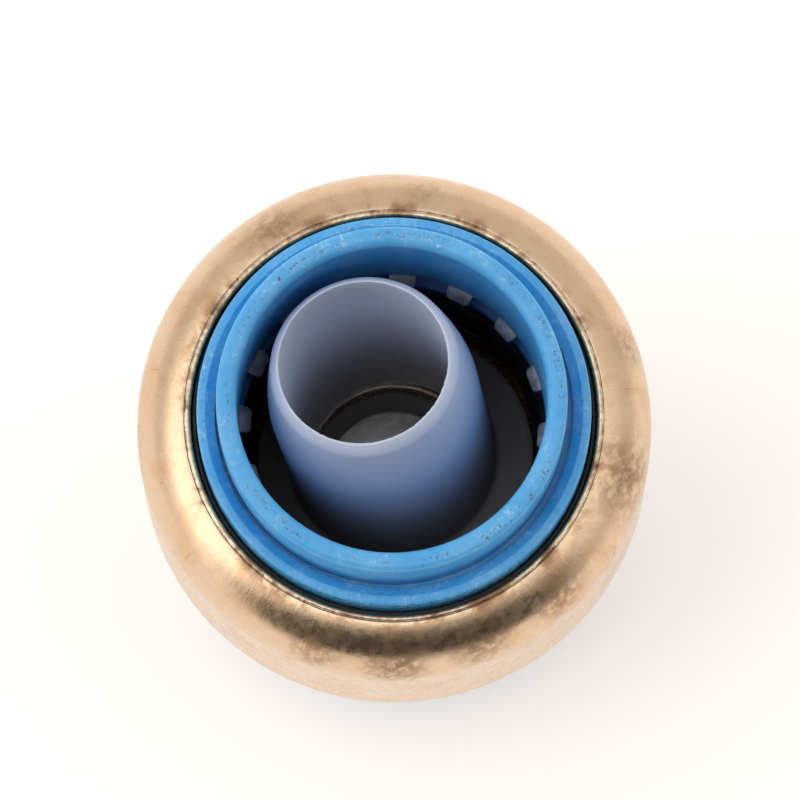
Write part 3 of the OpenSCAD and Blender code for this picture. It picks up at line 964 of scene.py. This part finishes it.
@dataclass
class TubeLiner:
    """The thin sleeve for plastic tube: flange, straight side, tapered nose and nicked tip."""

    sizes: Sizes
    outer_r: float = 5.6225
    taper: float = 0.79
    nose: float = 5.5
    tip_wall: float = 0.36
    draft: float = 0.3
    flange: float = 1.5
    edge_drop: float = 1.0
    foot_lift: float = 0.015
    segments: int = 480

    def outline(self) -> np.ndarray:
        """Outline of the upright liner.

        Along the nose the radius is the outside less taper times the distance
        from the nose's foot to the power 1.5, as a share of the nose's length. At
        the tip it turns in to the bore over edge_drop, by the share of that height
        to the power 1.7, so that the rim is a thin edge with no flat.
        """
        s = self.sizes
        share = np.linspace(1.0, self.edge_drop / self.nose, 26)
        nose_r = self.outer_r - self.taper * (1.0 - share) ** 1.5
        nose_z = s.liner_top - self.nose * share
        tip_r = self.outer_r - self.taper
        bore = tip_r - self.tip_wall
        foot_z = s.stop_top + self.foot_lift
        base = np.array([[bore + self.draft + 0.05, foot_z], [s.flange_r - 0.03, foot_z], [s.flange_r, foot_z + 0.03],
                         [s.flange_r, foot_z + self.flange - 0.3], [s.flange_r - 0.06, foot_z + self.flange - 0.15],
                         [s.flange_r - 0.3, foot_z + self.flange]])
        root = arc((self.outer_r + 0.3, foot_z + self.flange + 0.3), (0.3, 0.3), -90, -180, 5)
        side = np.array([[self.outer_r, z] for z in np.linspace(root[-1, 1] + 0.8, nose_z[0] - 0.8, 16)])
        nose = np.stack([nose_r, nose_z], 1)
        rise = np.linspace(0.0, 1.0, 9)[1:]
        rim = np.stack([nose_r[-1] - (nose_r[-1] - bore - 0.02) * rise**1.7, nose_z[-1] + self.edge_drop * rise], 1)
        inside_z = np.linspace(s.liner_top - 0.12, foot_z + 0.1, 26)
        inside_r = bore + self.draft * (s.liner_top - inside_z) / (s.liner_top - foot_z)
        return np.vstack([base, root, side, nose, rim, np.stack([inside_r, inside_z], 1)])

    def nicked(self, t: np.ndarray, r: np.ndarray, z: np.ndarray) -> tuple[np.ndarray, np.ndarray]:
        """Small nicks in the tip's rim and a slightly wavy edge."""
        rim = bump(z, self.sizes.liner_top, 0.3)
        turn = t[:, :1]
        nicks = np.clip(waves(turn, 40, 230, 30, 41) - 0.9, 0.0, 1.0)
        return rim * 0.012 * waves(turn, 6, 90, 20, 42), -rim * (0.06 * nicks + 0.01)

    def build(self, end: End, material: bpy.types.Material) -> bpy.types.Object:
        """Builds one liner, leaning where its joint's range says that it rests away from upright."""
        piece = revolved(end.node("liner_skin"), self.outline(), self.segments, end, self.nicked)
        self.sizes.settle(piece, end)
        if end is End.UPPER:
            moved(piece, self.lean())
        return dress(piece, material, end.node("liner"), end.node("tube_liner"))

    def lean(self) -> Matrix:
        """Slide and turn that take an upright, centred liner to the upper one's rest.

        The joint's whole range is undone about its pivot, after the liner has slid
        so that its flange's edge is at the pivot.
        """
        joint = next(j for j in FRAME["joints"] if j["name"] == "upper_liner_lean")
        pivot = Matrix.Translation(Vector(joint["pos_m"]))
        turn = Matrix.Rotation(-math.radians(max(joint["range_deg"])), 4, Vector(joint["axis"]))
        slide = Matrix.Translation((0.0, joint["pos_m"][1] - self.sizes.flange_r * MM, 0.0))
        return pivot @ turn @ pivot.inverted() @ slide


# ---------------------------------------------------------------- studio


@dataclass(frozen=True)
class SkyPatch:
    """A soft patch of the studio's surroundings: where it is, how wide, and how much brighter it makes them."""

    round_deg: float
    up_deg: float
    inner_deg: float
    outer_deg: float
    gain: float


@dataclass
class Studio:
    """Camera, pale surroundings and pale floor."""

    azimuth_deg: float = 36.64
    elevation_deg: float = 78.8
    distance: float = 376.6
    target_z: float = 14.3
    aim_right: float = 0.33
    aim_up: float = 1.227
    roll_deg: float = -0.815
    lens: float = 319.0
    base: float = 0.8
    floor_radii: tuple[float, float] = (5.0, 1500.0)
    floor_grid: tuple[int, int] = (24, 96)
    patches: tuple[SkyPatch, ...] = (
        SkyPatch(186.0, 60.0, 10.0, 40.0, 1.15),
        SkyPatch(218.0, 34.0, 10.0, 45.0, 0.75),
        SkyPatch(325.0, 56.0, 8.0, 45.0, 0.5),
        SkyPatch(273.0, 26.0, 40.0, 58.0, -0.94),
        SkyPatch(300.0, 76.0, 8.0, 34.0, 0.25),
    )

    def axes(self) -> tuple[Vector, Vector, Vector]:
        """The camera's view direction, right and up, before it is aimed."""
        az, el = math.radians(self.azimuth_deg), math.radians(self.elevation_deg)
        ahead = Vector((math.sin(az) * math.cos(el), math.cos(az) * math.cos(el), -math.sin(el)))
        right = ahead.cross(Vector((0.0, 0.0, 1.0))).normalized()
        return ahead, right, right.cross(ahead)

    def camera(self) -> bpy.types.Object:
        """Places a long lens above the upper socket, aimed a little off the axis."""
        ahead, right, up = self.axes()
        target = Vector((0.0, 0.0, self.target_z * MM))
        place = target - ahead * self.distance * MM
        aim = target + right * self.aim_right * MM + up * self.aim_up * MM
        forward = (aim - place).normalized()
        side = forward.cross(up).normalized()
        above = side.cross(forward)
        roll = math.radians(self.roll_deg)
        turned_side = side * math.cos(roll) + above * math.sin(roll)
        turned_up = above * math.cos(roll) - side * math.sin(roll)
        data = bpy.data.cameras.new("camera")
        data.lens, data.sensor_width = self.lens, 36.0
        data.clip_start, data.clip_end = 0.01, 20.0
        camera = bpy.data.objects.new("camera", data)
        frame = Matrix((turned_side, turned_up, -forward)).transposed().to_4x4()
        camera.matrix_world = Matrix.Translation(place) @ frame
        bpy.context.scene.collection.objects.link(camera)
        bpy.context.scene.camera = camera
        return camera

    def direction(self, round_deg: float, up_deg: float) -> Vector:
        """Direction in the room, from its angle round the view, counter-clockwise from its right, and its rise."""
        _, right, up = self.axes()
        flat_up = Vector((up.x, up.y, 0.0)).normalized()
        t, e = math.radians(round_deg), math.radians(up_deg)
        return (right * math.cos(t) + flat_up * math.sin(t)) * math.cos(e) + Vector((0.0, 0.0, math.sin(e)))

    def surroundings(self) -> None:
        """Pale walls and ceiling that light the coupling, brighter on one side, with one darker opening."""
        world = bpy.data.worlds.new("pale_room")
        bpy.context.scene.world = world
        world.use_nodes = True
        tree = world.node_tree
        tree.nodes.clear()
        way = add(tree, "VectorMath", {0: add(tree, "TexCoord", out="Generated")}, operation="NORMALIZE")
        level: Any = self.base
        for patch in self.patches:
            towards = tuple(self.direction(patch.round_deg, patch.up_deg))
            lined = add(tree, "VectorMath", {0: way, 1: towards}, out="Value", operation="DOT_PRODUCT")
            edge, middle = math.cos(math.radians(patch.outer_deg)), math.cos(math.radians(patch.inner_deg))
            hill = add(tree, "MapRange", {0: lined, 1: edge, 2: middle}, **SMOOTH)
            scaled = add(tree, "Math", {0: hill, 1: patch.gain, 2: 0.0 if patch.gain >= 0.0 else 1.0},
                         operation="MULTIPLY_ADD")
            level = add(tree, "Math", {0: level, 1: scaled}, operation="ADD" if patch.gain >= 0.0 else "MULTIPLY")
        room = add(tree, "Background", {"Color": linear("#FFFBF6"), "Strength": level})
        seen = add(tree, "Background", {"Color": linear("#FFFFFF"), "Strength": 1.0})
        direct = add(tree, "LightPath", out="Is Camera Ray")
        add(tree, "OutputWorld", {0: add(tree, "MixShader", {0: direct, 1: room, 2: seen})})

    def floor(self, level_m: float) -> bpy.types.Object:
        """A plain pale floor under the coupling, as a disc of flat rings."""
        rings, turns = self.floor_grid
        radii = np.geomspace(*self.floor_radii, rings)[:, None]
        t = np.linspace(0.0, 2.0 * math.pi, turns, endpoint=False)
        points = np.stack([radii * np.cos(t), radii * np.sin(t), np.zeros((rings, turns))], -1).reshape(-1, 3)
        quads = ring_quads(rings, turns)[: (rings - 1) * turns]
        piece = make_mesh("floor", points, quads)
        piece.location.z = level_m
        material, _ = new_material("pale_floor")
        piece.data.materials.append(finished(material, {
            "Base Color": linear("#F4F2F1"), "Roughness": 0.9,
            "Emission Color": linear("#FFFFFF"), "Emission Strength": 0.3}))
        piece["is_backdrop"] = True
        return piece


# ---------------------------------------------------------------- main


FRAME: dict[str, Any] = {}

# Soft brown spots on the upper bell, partly tarnish smudges and partly painted dark reflection: those round -127
# degrees, on the bell's side towards the camera, paint the dark reflection band there.
BELL_TARNISH_AND_REFLECTION_SPOTS = (
    TarnishAndReflectionSpot(85.0, 11.6, 16.2, 2.6, 0.8),
    TarnishAndReflectionSpot(45.0, 12.0, 16.0, 1.6, 0.5),
    TarnishAndReflectionSpot(-52.0, 12.4, 15.7, 3.4, 0.9),
    TarnishAndReflectionSpot(-85.0, 12.6, 15.5, 2.6, 0.8),
    TarnishAndReflectionSpot(-20.0, 12.8, 15.3, 1.8, 0.7),
    TarnishAndReflectionSpot(-127.0, 13.1, 14.9, 2.6, 1.0),
    TarnishAndReflectionSpot(-107.0, 12.7, 15.3, 2.4, 0.9),
    TarnishAndReflectionSpot(-146.0, 12.9, 15.1, 2.0, 0.8),
)


def main() -> None:
    """Builds the coupling's pieces in order round the frame, then the studio."""
    logging.basicConfig(level=logging.INFO, format="%(name)s: %(message)s")
    FRAME.update(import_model())
    cad_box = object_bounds()
    bpy.context.scene.view_settings.view_transform = "Standard"
    sizes = Sizes.read()
    studio = Studio()
    studio.camera()
    studio.surroundings()

    brass = TurnedBrass(tarnish_and_reflection_spots=BELL_TARNISH_AND_REFLECTION_SPOTS).build()
    collar_blue = MouldedPlastic("moulded_acetal_rubbed", "#4AA8E4", "#96CFF2", under_skin=0.35,
                                 speck_radius=8.78, speck_share=0.85).build()
    ring_blue = MouldedPlastic("moulded_acetal_ring", "#45A6E4", "#96CFF2", "#4A4038", rough=0.26,
                               speck_radius=10.0, speck_width=0.35, speck_share=0.4).build()
    # The seat's darker blue paints the shade that falls on it deep in the socket.
    seat_blue_shaded = MouldedPlastic("moulded_acetal_seat", "#1E62AE", "#3C7CBE", rough=0.4).build()
    # The liner's colour darkens towards its foot as painted shade for the depth of the socket.
    liner_plastic = MouldedPlastic("moulded_liner_plastic", "#CAD4EC", "#D3DBEF", rough=0.55, under_skin=0.1,
                                   line_depth=0.003, depth_shade="#4A4442", depth_shade_from=16.5, depth_shade_full=2.5).build()
    black_rubber = MouldedRubber("moulded_rubber_gasket", "#1C1F1E", "#4A4C4A", 0.55, 0.35).build()
    seal_rubber = MouldedRubber("greased_rubber_seal", "#0B0B0C", "#1E1E20", 0.36, 0.3).build()
    washer_plastic = MouldedRubber("moulded_black_washer", "#121214", "#2A2A2C", 0.45, 0.3).build()
    steel = SpringSteel().build()

    BrassBody(sizes).build(brass)
    hidden = HiddenRings(sizes)
    for end in End:
        ReleaseCollar(sizes).build(end, collar_blue)
        RetainingRing(sizes).build(end, ring_blue)
        LipGasket(sizes).build(end, black_rubber)
        GrabRing(sizes).build(end, steel)
        hidden.seat(end, seat_blue_shaded)
        hidden.washer(end, washer_plastic)
        hidden.seal(end, seal_rubber)
        TubeLiner(sizes).build(end, liner_plastic)
    studio.floor(cad_box[0][2])


if __name__ == "__main__":
    main()
